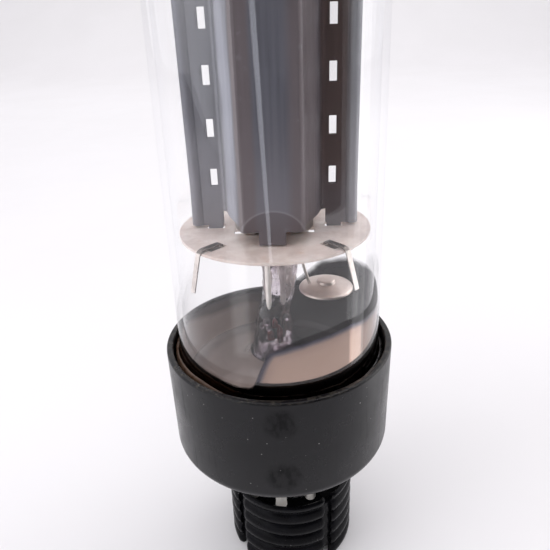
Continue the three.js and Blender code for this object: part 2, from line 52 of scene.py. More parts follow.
# ---------------------------------------------------------------- material nodes
class Graph:
    """One procedural material: short names for the nodes it is made of."""

    def __init__(self, name):
        self.mat = bpy.data.materials.new(name)
        self.mat.use_nodes = True
        self.tree = self.mat.node_tree
        self.tree.nodes.clear()
        self.out = self.tree.nodes.new("ShaderNodeOutputMaterial")
        self.shader = self.tree.nodes.new("ShaderNodeBsdfPrincipled")
        self.tree.links.new(self.shader.outputs[0], self.out.inputs[0])
        coord = self.tree.nodes.new("ShaderNodeTexCoord")
        self.place = coord.outputs["Object"]

    def set(self, **values):
        for key, value in values.items():
            self.shader.inputs[key.replace("_", " ")].default_value = value
        return self

    def link(self, source, socket):
        self.tree.links.new(source, self.shader.inputs[socket])

    def node(self, kind, inputs=(), **settings):
        n = self.tree.nodes.new(kind)
        for key, value in settings.items():
            setattr(n, key, value)
        for key, value in dict(inputs).items():
            if isinstance(value, bpy.types.NodeSocket):
                self.tree.links.new(value, n.inputs[key])
            else:
                n.inputs[key].default_value = value
        return n

    def stretch(self, x, y, z, source=None):
        n = self.node("ShaderNodeMapping", {"Vector": source or self.place, "Scale": (x, y, z)})
        return n.outputs[0]

    def noise(self, scale, detail=4.0, rough=0.55, vector=None):
        inputs = {"Vector": vector or self.place, "Scale": scale, "Detail": detail, "Roughness": rough}
        return self.node("ShaderNodeTexNoise", inputs).outputs[0]

    def ramp(self, value, stops):
        n = self.node("ShaderNodeValToRGB", {"Fac": value})
        marks = n.color_ramp.elements
        while len(marks) < len(stops):
            marks.new(0.5)
        for mark, (at, colour) in zip(marks, stops):
            mark.position = at
            mark.color = (*colour, 1)
        return n.outputs[0]

    def mix(self, share, low, high):
        n = self.node("ShaderNodeMix", data_type="RGBA")
        for name, kind, value in (("Factor", "VALUE", share), ("A", "RGBA", low), ("B", "RGBA", high)):
            socket = next(s for s in n.inputs if s.name == name and s.type == kind)
            if isinstance(value, bpy.types.NodeSocket):
                self.tree.links.new(value, socket)
            elif name == "Factor":
                socket.default_value = value
            else:
                socket.default_value = (*value, 1)
        return next(s for s in n.outputs if s.type == "RGBA")

    def maths(self, operation, a, b=0.0, clamp=False, add=0.5):
        n = self.node("ShaderNodeMath", {0: a, 1: b, 2: add}, operation=operation)
        n.use_clamp = clamp
        return n.outputs[0]

    def spread(self, value, low, high, to_low=0.0, to_high=1.0):
        inputs = {"Value": value, "From Min": low, "From Max": high, "To Min": to_low, "To Max": to_high}
        n = self.node("ShaderNodeMapRange", inputs)
        n.interpolation_type = "SMOOTHSTEP"
        return n.outputs[0]

    def distance(self, vector, centre):
        n = self.node("ShaderNodeVectorMath", {0: vector, 1: centre}, operation="DISTANCE")
        return n.outputs["Value"]

    def band(self, value, start, full, fall, end):
        """Rises from 0 to 1 between the first two values and falls back between the last two."""
        rise = self.spread(value, start, full)
        return self.maths("MULTIPLY", rise, self.spread(value, fall, end, 1.0, 0.0))

    def axis(self, letter, source=None):
        n = self.node("ShaderNodeSeparateXYZ", {0: source or self.place})
        return n.outputs["XYZ".index(letter)]

    def attribute(self, name):
        return self.node("ShaderNodeAttribute", attribute_name=name).outputs["Fac"]

    def specks(self, scale, size, share, offset=0.0):
        """Small round dots of one size, in only some cells of the pattern."""
        place = self.node("ShaderNodeMapping", {"Vector": self.place, "Location": (offset, offset, 0)})
        cells = self.node("ShaderNodeTexVoronoi", {"Vector": place.outputs[0], "Scale": scale})
        near = self.spread(cells.outputs["Distance"], size * 0.6, size, 1.0, 0.0)
        luck = self.axis("X", cells.outputs["Color"])
        chosen = self.maths("LESS_THAN", luck, share)
        return self.maths("MULTIPLY", near, chosen)

    def bump(self, height, strength, depth):
        inputs = {"Height": height, "Strength": strength, "Distance": depth}
        self.link(self.node("ShaderNodeBump", inputs).outputs[0], "Normal")
        return self


def base_plastic():
    g = Graph("base_phenolic")
    cloud = g.noise(70, 5, 0.6)
    colour = g.mix(g.spread(cloud, 0.35, 0.7), (0.0032, 0.003, 0.0042), (0.0062, 0.0058, 0.0078))
    rim = g.spread(g.axis("Z"), (RIM - 0.5) * MM, (RIM - 0.05) * MM)
    chips = g.spread(g.noise(2600, 5, 0.75, g.stretch(0.35, 0.35, 1)), 0.46, 0.66)
    worn = g.maths("MULTIPLY", rim, chips)
    colour = g.mix(g.maths("MULTIPLY", worn, 0.6), colour, (0.075, 0.066, 0.052))
    marks = None
    for x, z, size in ((0.4, RIM - 4.4, 3.2), (1.0, RIM - 16.4, 3.4)):
        gap = g.distance(g.place, (x * MM, FRONT * MM, z * MM))
        ragged = g.maths("MULTIPLY_ADD", g.noise(420, 4, 0.6), 2.4 * MM, add=-1.2 * MM)
        reach = g.maths("ADD", gap, ragged)
        patch = g.spread(reach, size * 0.55 * MM, size * 1.15 * MM, 1.0, 0.0)
        marks = patch if marks is None else g.maths("MAXIMUM", marks, patch)
    print_lines = g.spread(g.noise(1100, 3, 0.5, g.stretch(1, 1, 0.5)), 0.36, 0.64, 0.4, 1.0)
    smudge = g.maths("MULTIPLY", marks, print_lines)
    colour = g.mix(g.maths("MULTIPLY", smudge, 0.6, True), colour, (0.0022, 0.0022, 0.0026))
    dust = g.specks(420, 0.085, 0.16)
    fine = g.specks(900, 0.11, 0.12, 0.013)
    dust = g.maths("MAXIMUM", dust, g.maths("MULTIPLY", fine, 0.6))
    colour = g.mix(g.maths("MULTIPLY", dust, 0.85), colour, (0.45, 0.44, 0.43))
    g.link(colour, "Base Color")
    scratch = g.noise(1400, 3, 0.6, g.stretch(1, 1, 0.06))
    rough = g.spread(g.noise(160, 6, 0.65), 0.3, 0.75, 0.24, 0.38)
    rough = g.maths("ADD", rough, g.spread(scratch, 0.55, 0.75, 0.0, 0.12))
    g.link(g.maths("ADD", rough, g.maths("MULTIPLY", smudge, 0.12)), "Roughness")
    height = g.maths("ADD", g.noise(2200, 3, 0.6), g.maths("MULTIPLY", scratch, 0.5))
    g.link(g.maths("MULTIPLY_ADD", smudge, -0.14, add=0.27), "Specular IOR Level")
    return g.bump(height, 0.12, 0.00003).mat


def sleeve_plastic():
    g = Graph("sleeve_plastic")
    colour = g.mix(g.spread(g.noise(300, 4), 0.35, 0.7), (0.0018, 0.0018, 0.0026), (0.004, 0.004, 0.0055))
    dust = g.specks(700, 0.09, 0.1)
    g.link(g.mix(g.maths("MULTIPLY", dust, 0.6), colour, (0.3, 0.3, 0.3)), "Base Color")
    g.link(g.spread(g.noise(420, 5, 0.6), 0.3, 0.75, 0.2, 0.32), "Roughness")
    return g.set(Specular_IOR_Level=0.08).bump(g.noise(900, 4, 0.6), 0.1, 0.00005).mat


def nickel(name, light, dark, rough_low, rough_high, grain=(1, 1, 0.1), stain=None, painted_glow=0.0, reach=99):
    """Bright or dull metal. It may be stained above a height, and glow with painted light up to a reach in
    Y.
    """
    g = Graph(name)
    tone = g.noise(500, 5, 0.6)
    colour = g.mix(g.spread(tone, 0.3, 0.72), dark, light)
    if stain:
        above = g.spread(g.axis("Z"), stain * MM, (stain + 0.3) * MM, 0.0, 0.85)
        colour = g.mix(above, colour, (0.1, 0.08, 0.07))
    g.link(colour, "Base Color")
    lines = g.noise(3000, 3, 0.5, g.stretch(*grain))
    g.link(g.spread(lines, 0.3, 0.7, rough_low, rough_high), "Roughness")
    # painted light: the metal glows faintly where Y is below the reach
    if painted_glow:
        g.link(g.spread(g.axis("Y"), reach * MM, (reach + 0.4) * MM, painted_glow, 0.0), "Emission Strength")
        g.set(Emission_Color=(0.9, 0.85, 0.82, 1))
    return g.set(Metallic=0.3 if painted_glow else 1.0).bump(lines, 0.1, 0.00002).mat


def cement_material():
    g = Graph("basing_cement")
    side = g.maths("MULTIPLY", g.axis("X"), -1.0)
    front = g.maths("MULTIPLY", g.axis("Y"), -0.18)
    lump = g.noise(260, 5, 0.65)
    reach = g.maths("ADD", g.maths("ADD", side, front), g.maths("MULTIPLY", lump, 0.012))
    brown = g.spread(reach, 0.0150, 0.0195)
    ground = g.mix(g.spread(g.noise(900, 4), 0.4, 0.7), (0.085, 0.045, 0.025), (0.05, 0.027, 0.016))
    colour = g.mix(brown, (0.003, 0.003, 0.0032), ground)
    dust = g.maths("MAXIMUM", g.specks(800, 0.12, 0.25), g.specks(1500, 0.14, 0.2, 0.02))
    g.link(g.mix(g.maths("MULTIPLY", dust, 0.8), colour, (0.4, 0.36, 0.33)), "Base Color")
    g.link(g.spread(g.noise(600, 4), 0.35, 0.7, 0.22, 0.6), "Roughness")
    return g.bump(g.maths("ADD", lump, g.noise(1300, 4, 0.7)), 0.5, 0.00025).mat


def bulb_glass():
    g = Graph("bulb_glass")
    grazing = g.node("ShaderNodeLayerWeight", {"Blend": 0.5}).outputs["Facing"]
    facing = g.maths("MULTIPLY_ADD", g.maths("POWER", grazing, 5.0), 0.9, add=0.04)
    haze = g.spread(g.noise(140, 5, 0.6), 0.45, 0.8, 0.0, 0.012)
    specks = g.maths("MULTIPLY", g.specks(330, 0.05, 0.1), 0.35)
    alpha = g.maths("ADD", g.maths("ADD", facing, haze), specks, True)
    g.link(alpha, "Alpha")
    g.link(g.mix(g.noise(90, 3), (0.93, 0.94, 0.96), (0.97, 0.97, 0.98)), "Base Color")
    g.link(g.spread(g.noise(260, 4), 0.4, 0.75, 0.015, 0.05), "Roughness")
    return g.set(Metallic=1.0).mat


def film_mirror():
    """Outer face of the metal film: beige mirror that thins to a blue fringe at its edge."""
    g = Graph("getter_film_mirror")
    edge = g.attribute("edge")
    wander = g.spread(g.noise(180, 3), 0.3, 0.7, -0.008, 0.008)
    depth = g.maths("ADD", edge, wander)
    fringe = [(0.0, (0.03, 0.03, 0.05)), (0.04, (0.044, 0.041, 0.06)), (0.075, (0.12, 0.104, 0.11))]
    beige = [(0.13, (0.28, 0.2, 0.17)), (0.26, (0.34, 0.245, 0.2)), (1.0, (0.385, 0.275, 0.225))]
    colour = g.ramp(depth, fringe + beige)
    g.link(colour, "Base Color")
    g.link(g.spread(depth, -0.02, 0.05), "Alpha")
    g.link(g.spread(g.noise(240, 5), 0.35, 0.7, 0.04, 0.085), "Roughness")
    return g.set(Metallic=1.0).mat


def film_inside():
    """Inner face of the film: a dark brown-grey mirror, made paler low on one side by painted light."""
    g = Graph("getter_film_inside")
    edge = g.attribute("edge")
    # painted light: a per-vertex share mixes in a pale beige where light would fall
    warm = g.attribute("warm")
    cloud = g.noise(170, 4, 0.6)
    dark = g.mix(g.spread(cloud, 0.3, 0.75), (0.013, 0.008, 0.008), (0.024, 0.017, 0.016))
    pale = g.mix(g.spread(cloud, 0.3, 0.75), (0.5, 0.4, 0.36), (0.59, 0.475, 0.43))
    colour = g.mix(warm, dark, pale)
    fringe = g.spread(edge, 0.02, 0.16, 1.0, 0.0)
    g.link(g.mix(g.maths("MULTIPLY", fringe, 0.6), colour, (0.075, 0.07, 0.1)), "Base Color")
    g.link(g.spread(edge, 0.0, 0.09), "Alpha")
    g.link(g.spread(cloud, 0.3, 0.75, 0.12, 0.24), "Roughness")
    return g.set(Metallic=0.2, Specular_IOR_Level=0.2).mat


def clear_glass():
    g = Graph("stem_glass")
    streak = g.noise(700, 4, 0.6, g.stretch(1, 1, 0.25))
    blotch = g.spread(g.noise(330, 4, 0.65, g.stretch(1, 1, 0.5)), 0.36, 0.62)
    tint = g.mix(blotch, (0.36, 0.3, 0.34), (0.82, 0.76, 0.8))
    # painted shade: the glass is tinted darker at its foot, just above the rim
    low = g.spread(g.axis("Z"), (RIM + 4) * MM, (RIM + 1.5) * MM, 0.0, 0.8)
    tint = g.mix(low, tint, (0.2, 0.15, 0.18))
    g.link(g.mix(g.spread(streak, 0.4, 0.75, 0.0, 0.6), tint, (0.5, 0.43, 0.47)), "Base Color")
    g.link(g.spread(streak, 0.35, 0.75, 0.01, 0.09), "Roughness")
    g.set(Transmission_Weight=1.0, IOR=1.48)
    high = g.spread(g.axis("Z"), (RIM + 8) * MM, (RIM + 11) * MM)
    bubbles = g.maths("MULTIPLY", g.specks(1500, 0.3, 0.35), high)
    height = g.maths("ADD", g.maths("ADD", streak, g.noise(420, 3, 0.6)), bubbles)
    return g.bump(height, 0.4, 0.0004).mat


def seal_glass():
    g = Graph("lead_seal")
    tone = g.noise(900, 4, 0.6)
    g.link(g.mix(g.spread(tone, 0.35, 0.7), (0.16, 0.02, 0.02), (0.33, 0.06, 0.05)), "Base Color")
    g.link(g.spread(tone, 0.3, 0.7, 0.15, 0.35), "Roughness")
    return g.set(Coat_Weight=0.6, Coat_Roughness=0.05).bump(tone, 0.2, 0.0001).mat


def mica_material():
    g = Graph("mica")
    cloud = g.noise(220, 6, 0.62)
    powder = g.noise(1900, 5, 0.75)
    colour = g.mix(g.spread(cloud, 0.3, 0.72), (0.64, 0.52, 0.47), (0.84, 0.74, 0.69))
    colour = g.mix(g.spread(powder, 0.5, 0.72, 0.0, 0.5), colour, (0.92, 0.84, 0.79))
    stain = g.spread(g.noise(330, 3, 0.5), 0.62, 0.76, 0.0, 0.4)
    g.link(g.mix(stain, colour, (0.6, 0.4, 0.3)), "Base Color")
    g.link(g.spread(powder, 0.3, 0.7, 0.5, 0.85), "Roughness")
    g.set(Subsurface_Weight=0.25, Subsurface_Radius=(0.0008, 0.0006, 0.0005), Subsurface_Scale=1.0)
    return g.bump(g.maths("ADD", powder, cloud), 0.3, 0.00006).mat


def anode_material():
    g = Graph("anode_coating")
    lines = g.noise(1500, 3, 0.55, g.stretch(1, 1, 0.035))
    cloud = g.noise(75, 4, 0.6, g.stretch(1, 1, 0.4))
    colour = g.mix(g.spread(cloud, 0.3, 0.7), (0.085, 0.087, 0.108), (0.125, 0.127, 0.152))
    colour = g.mix(g.spread(lines, 0.35, 0.68, 0.0, 0.5), colour, (0.16, 0.16, 0.19))
    # painted light: the sheet is lighter towards its lower end
    low = g.spread(g.axis("Z"), (RIM + 50) * MM, (RIM + 28) * MM, 0.0, 0.8)
    colour = g.mix(low, colour, (0.22, 0.21, 0.235))
    across = g.axis("X")
    wander = g.maths("MULTIPLY_ADD", g.noise(45, 2, 0.5, g.stretch(0, 0, 1)), 0.0016, add=-0.0008)
    place = g.maths("ADD", across, wander)
    # painted shade, tinted brown, in a band towards +X that is weaker low down
    painted_shade = g.band(place, 0.0075, 0.0089, 0.0124, 0.0139)
    painted_shade = g.maths("MULTIPLY", painted_shade, g.spread(g.axis("Z"), (RIM + 26) * MM, (RIM + 36) * MM, 0.45, 0.85))
    brown = g.mix(g.noise(190, 4, 0.6, g.stretch(1, 1, 0.12)), (0.03, 0.018, 0.016), (0.15, 0.09, 0.075))
    colour = g.mix(painted_shade, colour, brown)
    # painted reflections: two lighter pinkish bands down the face
    warm = g.band(place, 0.0022, 0.0042, 0.0072, 0.0086)
    tan = g.band(place, -0.0057, -0.0051, -0.0029, -0.0019)
    colour = g.mix(g.maths("MULTIPLY", g.maths("ADD", warm, tan, True), 0.6), colour, (0.17, 0.13, 0.128))
    # painted sheen: a pale bluish band in patches on the slanted side towards -X
    sheen = g.band(place, -0.0086, -0.0074, -0.0058, -0.0052)
    patchy = g.spread(g.noise(110, 2, 0.5, g.stretch(1, 1, 0.5)), 0.35, 0.6, 0.25, 0.75)
    colour = g.mix(g.maths("MULTIPLY", sheen, patchy), colour, (0.42, 0.43, 0.5))
    # painted highlight along an arch-shaped line low on the face, with painted shade inside the arch
    flat = 1.25  # the arch is this much wider than it is tall
    foot = g.distance(g.stretch(1, 0, flat), (0.0001, 0, flat * (RIM + 25.4) * MM))
    painted_arch_highlight = g.band(foot, 0.0050, 0.0053, 0.0053, 0.0057)
    colour = g.mix(g.spread(foot, 0.0050, 0.0054, 0.5, 0.0), colour, (0.11, 0.085, 0.088))
    colour = g.mix(g.maths("MULTIPLY", painted_arch_highlight, 0.35), colour, (0.36, 0.34, 0.36))
    scuff = g.maths("MULTIPLY", g.spread(g.noise(520, 5, 0.7), 0.62, 0.72), 0.35)
    g.link(g.mix(scuff, colour, (0.24, 0.23, 0.25)), "Base Color")
    g.link(g.spread(lines, 0.3, 0.72, 0.3, 0.48), "Roughness")
    g.set(Metallic=0.25, Specular_IOR_Level=0.45)
    return g.bump(g.maths("ADD", lines, g.maths("MULTIPLY", g.noise(2600, 3), 0.4)), 0.22, 0.00005).mat


def powder(name, light, dark, rough=0.85):
    g = Graph(name)
    grain = g.noise(2400, 5, 0.7)
    g.link(g.mix(g.spread(grain, 0.3, 0.72), dark, light), "Base Color")
    g.link(g.spread(grain, 0.3, 0.7, rough - 0.12, rough + 0.1), "Roughness")
    return g.bump(grain, 0.4, 0.00006).mat


def floor_material():
    g = Graph("pale_floor")
    tone = g.noise(9, 3, 0.5)
    g.link(g.mix(g.spread(tone, 0.3, 0.7), (0.775, 0.76, 0.765), (0.79, 0.775, 0.782)), "Base Color")
    g.link(g.spread(g.noise(60, 3), 0.3, 0.7, 0.55, 0.65), "Roughness")
    return g.set(Specular_IOR_Level=0.25).mat


BASE = base_plastic()
SLEEVE = sleeve_plastic()
# painted light: the pins glow faintly on their front side, the leads faintly all over
PIN = nickel("pin_nickel", (0.95, 0.92, 0.88), (0.8, 0.77, 0.73), 0.3, 0.5, painted_glow=0.2, reach=-7.6)
LEAD = nickel("lead_nickel", (0.93, 0.88, 0.84), (0.78, 0.72, 0.68), 0.28, 0.42, painted_glow=0.1)
BRIGHT = nickel("bright_nickel", (0.8, 0.74, 0.7), (0.64, 0.58, 0.54), 0.26, 0.4)
SPRING = nickel("spring_nickel", (0.84, 0.77, 0.72), (0.66, 0.6, 0.56), 0.26, 0.4, stain=MICA_LOW + 0.3)
FOOT = nickel("spring_foot_nickel", (0.24, 0.2, 0.18), (0.14, 0.11, 0.1), 0.35, 0.5)
PAN = nickel("getter_pan_nickel", (0.72, 0.63, 0.58), (0.62, 0.53, 0.49), 0.38, 0.5, (1, 1, 1))
GRID = nickel("grid_wire", (0.5, 0.47, 0.45), (0.3, 0.27, 0.26), 0.3, 0.45)
BEAM = nickel("beam_plate_steel", (0.42, 0.4, 0.39), (0.3, 0.28, 0.27), 0.32, 0.5)
CEMENT = cement_material()
GLASS = bulb_glass()
MIRROR = film_mirror()
INSIDE = film_inside()
CLEAR = clear_glass()
SEAL = seal_glass()
MICA = mica_material()
ANODE = anode_material()
CATHODE = powder("cathode_oxide", (0.88, 0.87, 0.84), (0.74, 0.72, 0.68))
HEATER = powder("heater_coat", (0.86, 0.84, 0.8), (0.7, 0.67, 0.62))


# ---------------------------------------------------------------- mesh helpers
CREASE = 35  # degrees between faces from which an edge stays sharp


def clamp(value):
    return min(max(value, 0), 1)


def stitch(low, high):
    """Faces between two rings of as many vertices."""
    n = len(low)
    return [[low[i], low[(i + 1) % n], high[(i + 1) % n], high[i]] for i in range(n)]


# a box whose lower four corners come first, in the same order as the upper four
BOX_FACES = [[3, 2, 1, 0], [4, 5, 6, 7]] + stitch([0, 1, 2, 3], [4, 5, 6, 7])


def paint(obj, **layers):
    """Stores one number per vertex under each name, for the materials to read."""
    for key, values in layers.items():
        layer = obj.data.attributes.new(key, "FLOAT", "POINT")
        layer.data.foreach_set("value", values)


def soften(mesh, angle, fix_normals=True):
    """Smooth shading, with creases only where faces meet more sharply than the angle."""
    bm = bmesh.new()
    bm.from_mesh(mesh)
    if fix_normals:
        bmesh.ops.recalc_face_normals(bm, faces=bm.faces)
    limit = math.radians(angle)
    for face in bm.faces:
        face.smooth = True
    for edge in bm.edges:
        edge.smooth = not (len(edge.link_faces) == 2 and edge.calc_face_angle(0) > limit)
    bm.to_mesh(mesh)
    bm.free()


def make_object(name, verts, faces, material, angle=CREASE, fix_normals=True):
    mesh = bpy.data.meshes.new(name)
    mesh.from_pydata([(x * MM, y * MM, z * MM) for x, y, z in verts], [], faces)
    soften(mesh, angle, fix_normals)
    mesh.materials.append(material)
    obj = bpy.data.objects.new(name, mesh)
    bpy.context.scene.collection.objects.link(obj)
    return obj


def lathe(name, profile, material, count=128, centre=(0.0, 0.0), angle=CREASE, closed=False,
          fix_normals=True):
    """Turns a list of (radius, height) about a vertical axis. A radius of 0 becomes one point."""
    verts = []
    rows = []
    for radius, height in profile:
        if radius < 1e-6:
            rows.append([len(verts)] * count)
            verts.append((centre[0], centre[1], height))
            continue
        rows.append(list(range(len(verts), len(verts) + count)))
        for i in range(count):
            a = 2 * math.pi * i / count
            verts.append((centre[0] + radius * math.cos(a), centre[1] + radius * math.sin(a), height))
    pairs = list(zip(rows, rows[1:]))
    if closed:
        pairs.append((rows[-1], rows[0]))
    faces = []
    for low, high in pairs:
        for i in range(count):
            j = (i + 1) % count
            corners = [low[i], low[j], high[j], high[i]]
            face = [c for k, c in enumerate(corners) if c not in corners[:k]]
            if len(face) > 2:
                faces.append(face)
    return make_object(name, verts, faces, material, angle, fix_normals)


def curve_through(points, steps=6):
    """Catmull-Rom curve through points of any dimension."""
    out = []
    for i in range(len(points) - 1):
        p0 = points[max(i - 1, 0)]
        p1, p2 = points[i], points[i + 1]
        p3 = points[min(i + 2, len(points) - 1)]
        for k in range(steps):
            t = k / steps
            point = []
            for a, b, c, d in zip(p0, p1, p2, p3):
                bend = 2 * a - 5 * b + 4 * c - d
                twist = 3 * b - a - 3 * c + d
                point.append(0.5 * (2 * b + (c - a) * t + bend * t * t + twist * t ** 3))
            out.append(tuple(point))
    out.append(tuple(points[-1]))
    return out


def wire(name, points, radius, material, sides=16, steps=6, tip=None):
    """A round wire along a smooth path, with closed ends; tip tapers its first end."""
    path = [Vector(p) for p in curve_through(points, steps)]
    verts, rings = [], []
    side = None
    for i, p in enumerate(path):
        along = (path[min(i + 1, len(path) - 1)] - path[max(i - 1, 0)]).normalized()
        if side is None:
            side = along.orthogonal().normalized()
        side = (side - along * side.dot(along)).normalized()
        other = along.cross(side)
        size = radius
        if tip and i < tip:
            size = radius * (0.25 + 0.75 * i / tip)
        rings.append(list(range(len(verts), len(verts) + sides)))
        for k in range(sides):
            a = 2 * math.pi * k / sides
            verts.append(tuple(p + (side * math.cos(a) + other * math.sin(a)) * size))
    faces = [rings[0][::-1], rings[-1]]
    for low, high in zip(rings, rings[1:]):
        faces += stitch(low, high)
    return make_object(name, verts, faces, material, 50)


def round_edges(obj, width, segments, angle):
    rounding = obj.modifiers.new("rounding", "BEVEL")
    rounding.width = width * MM
    rounding.segments = segments
    rounding.limit_method = "ANGLE"
    rounding.angle_limit = math.radians(angle)
    return rounding


def refined(node, name, material, bevel=0.05, segments=2):
    """The CAD shape with its edges rounded and its round sides shaded smooth."""
    bm = bmesh.new()
    bm.from_mesh(nodes[node].data)
    bmesh.ops.remove_doubles(bm, verts=bm.verts, dist=1e-7)
    bmesh.ops.dissolve_limit(bm, angle_limit=math.radians(0.8), verts=bm.verts, edges=bm.edges)
    mesh = bpy.data.meshes.new(name)
    bm.to_mesh(mesh)
    bm.free()
    mesh.materials.clear()
    mesh.materials.append(material)
    soften(mesh, CREASE)
    obj = bpy.data.objects.new(name, mesh)
    bpy.context.scene.collection.objects.link(obj)
    if bevel:
        round_edges(obj, bevel, segments, CREASE).harden_normals = True
    return obj


def fit(obj, body, slot, *replaced):
    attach(obj, body)
    if replaced:
        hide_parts(*replaced)
    return obj


def azimuth_point(turn, radius):
    """Direction counted from the front (-Y) towards +X."""
    a = math.radians(turn)
    return radius * math.sin(a), -radius * math.cos(a)


def arc(cx, cz, radius, start, end, count):
    """Points of (radius, height) on an arc, angles in degrees from outwards to upwards."""
    turns = [math.radians(start + (end - start) * i / count) for i in range(count + 1)]
    return [(cx + radius * math.cos(a), cz + radius * math.sin(a)) for a in turns]


# ---------------------------------------------------------------- pin sleeve
SLEEVE_R = 13.93
SLEEVE_TOP = 18.3
CUP_TOP = 16.0
SLEEVE_TURN = -7.8
SLEEVE_AXIS = (1.5, 0.0)
RIB_PITCH = 3.35
FIRST_RIB = SLEEVE_TOP - 0.5


def rib_radius(z):
    swell = abs(math.cos(math.pi * (z - FIRST_RIB) / RIB_PITCH)) ** 0.85
    return SLEEVE_R - 0.62 * (1 - swell)


def make_sleeve():
    outer = [(12.6, 0.0), (13.4, 0.0), (13.62, 0.12)]
    steps = 112
    for i in range(steps + 1):
        z = 0.35 + (FIRST_RIB - 0.25) * i / steps
        outer.append((rib_radius(z), z))
    outer += [(13.86, FIRST_RIB + 0.2), (13.72, SLEEVE_TOP - 0.12), (13.5, SLEEVE_TOP)]
    outer.append((13.28, SLEEVE_TOP - 0.06))
    inner = [(13.1, SLEEVE_TOP - 0.25), (12.45, CUP_TOP + 0.2), (12.45, 0.3)]
    section = outer + inner
    verts, faces = [], []
    half_slot = math.degrees(math.asin(1.0 / 13.4))
    across = 40
    for k in range(4):
        start = SLEEVE_TURN + 90 * k - 45 + half_slot
        sweep = 90 - 2 * half_slot
        columns = []
        for i in range(across + 1):
            share = i / across
            ease = min(min(share, 1 - share) * across / 2.0, 1.0)
            columns.append(len(verts))
            for radius, z in section:
                pull = 0.35 * (1 - math.sqrt(1 - (1 - ease) ** 2)) if radius > 12.9 else 0.0
                x, y = azimuth_point(start + sweep * share, radius - pull)
                verts.append((x + SLEEVE_AXIS[0], y + SLEEVE_AXIS[1], z))
        n = len(section)
        for a, b in zip(columns, columns[1:]):
            faces += [[a + j, b + j, b + (j + 1) % n, a + (j + 1) % n] for j in range(n)]
        faces.append([columns[0] + j for j in range(n)])
        faces.append([columns[-1] + j for j in range(n)][::-1])
    panels = make_object("sleeve_panels", verts, faces, SLEEVE, 40)
    fit(panels, "sleeve", "sleeve_plastic", "pin_sleeve")
    cup = [(6.6, 11.2), (6.8, 11.0), (11.8, 11.0), (11.8, 2.7), (12.0, 2.5), (12.6, 2.5), (12.8, 2.7)]
    cup += [(12.8, CUP_TOP - 0.2), (12.6, CUP_TOP), (12.0, CUP_TOP)]
    cup += [(11.8, CUP_TOP - 0.2), (11.8, 13.5), (11.6, 13.3), (6.8, 13.3), (6.6, 13.1)]
    inner_cup = lathe("sleeve_cup", cup, SLEEVE, 96, SLEEVE_AXIS, closed=True)
    fit(inner_cup, "sleeve", "sleeve_plastic", "pin_sleeve")


# ---------------------------------------------------------------- base, pins and cement
WAFER_Z = RIM - 27.4
FLOOR_Z = RIM - 22.9
SPIGOT_Z = WAFER_Z - 14.3
BASE_TURN = -2.6


def make_base():
    profile = [(0.0, SPIGOT_Z)]
    profile += arc(3.35, SPIGOT_Z + 0.6, 0.6, -90, 0, 5)
    profile += [(3.95, WAFER_Z - 0.3), (4.25, WAFER_Z), (15.8, WAFER_Z)]
    profile += arc(15.8, WAFER_Z + 0.5, 0.5, -90, 0, 4)
    profile += [(16.3, FLOOR_Z - 0.2), (16.5, FLOOR_Z)]
    profile += arc(19.75, FLOOR_Z + 2.6, 2.6, -90, 0, 12)
    profile += [(22.4, RIM - 12), (22.48, RIM - 4), (22.5, RIM - 0.45)]
    profile += arc(22.05, RIM - 0.45, 0.45, 0, 90, 6)
    profile += arc(21.58, RIM - 0.4, 0.4, 90, 180, 5)
    profile += [(21.1, RIM - 6), (20.88, RIM - 17.3)]
    profile += arc(19.9, RIM - 17.5, 0.98, 0, -90, 4)
    profile += [(15.0, RIM - 19.4), (14.2, RIM - 20.2), (14.2, WAFER_Z + 2.8), (3.0, WAFER_Z + 2.8)]
    profile += [(3.0, SPIGOT_Z + 1.5), (0.0, SPIGOT_Z + 1.5)]
    shell = lathe("base_body", profile, BASE, 192, angle=50)
    fit(shell, "tube", "base_phenolic", "base_shell")
    low, high = SPIGOT_Z + 0.4, WAFER_Z + 0.2
    corners = [(-0.75, -4.7), (0.75, -4.7), (0.75, -3.4), (-0.75, -3.4)]
    turn = Matrix.Rotation(math.radians(BASE_TURN + 22.5), 3, "Z")
    verts = [tuple(turn @ Vector((x, y, z))) for z in (low, high) for x, y in corners]
    key = make_object("base_key", verts, BOX_FACES, BASE)
    round_edges(key, 0.2, 3, 30)
    fit(key, "tube", "base_phenolic", "base_shell")


def make_pins():
    tip = WAFER_Z - 11
    for k in range(8):
        profile = [(0.0, tip)] + arc(0.55, tip + 0.75, 0.75, -90, -20, 6)[1:]
        profile += [(1.16, tip + 1.6), (1.18, tip + 2.0), (1.18, WAFER_Z - 0.4), (1.12, WAFER_Z - 0.2)]
        profile += [(1.12, WAFER_Z + 4.2), (0.0, WAFER_Z + 4.3)]
        pin = lathe(f"pin_{k + 1}_contact", profile, PIN, 40, azimuth_point(BASE_TURN + 45 * k, 8.73))
        fit(pin, "tube", "pin_nickel", f"pin_{k + 1}")


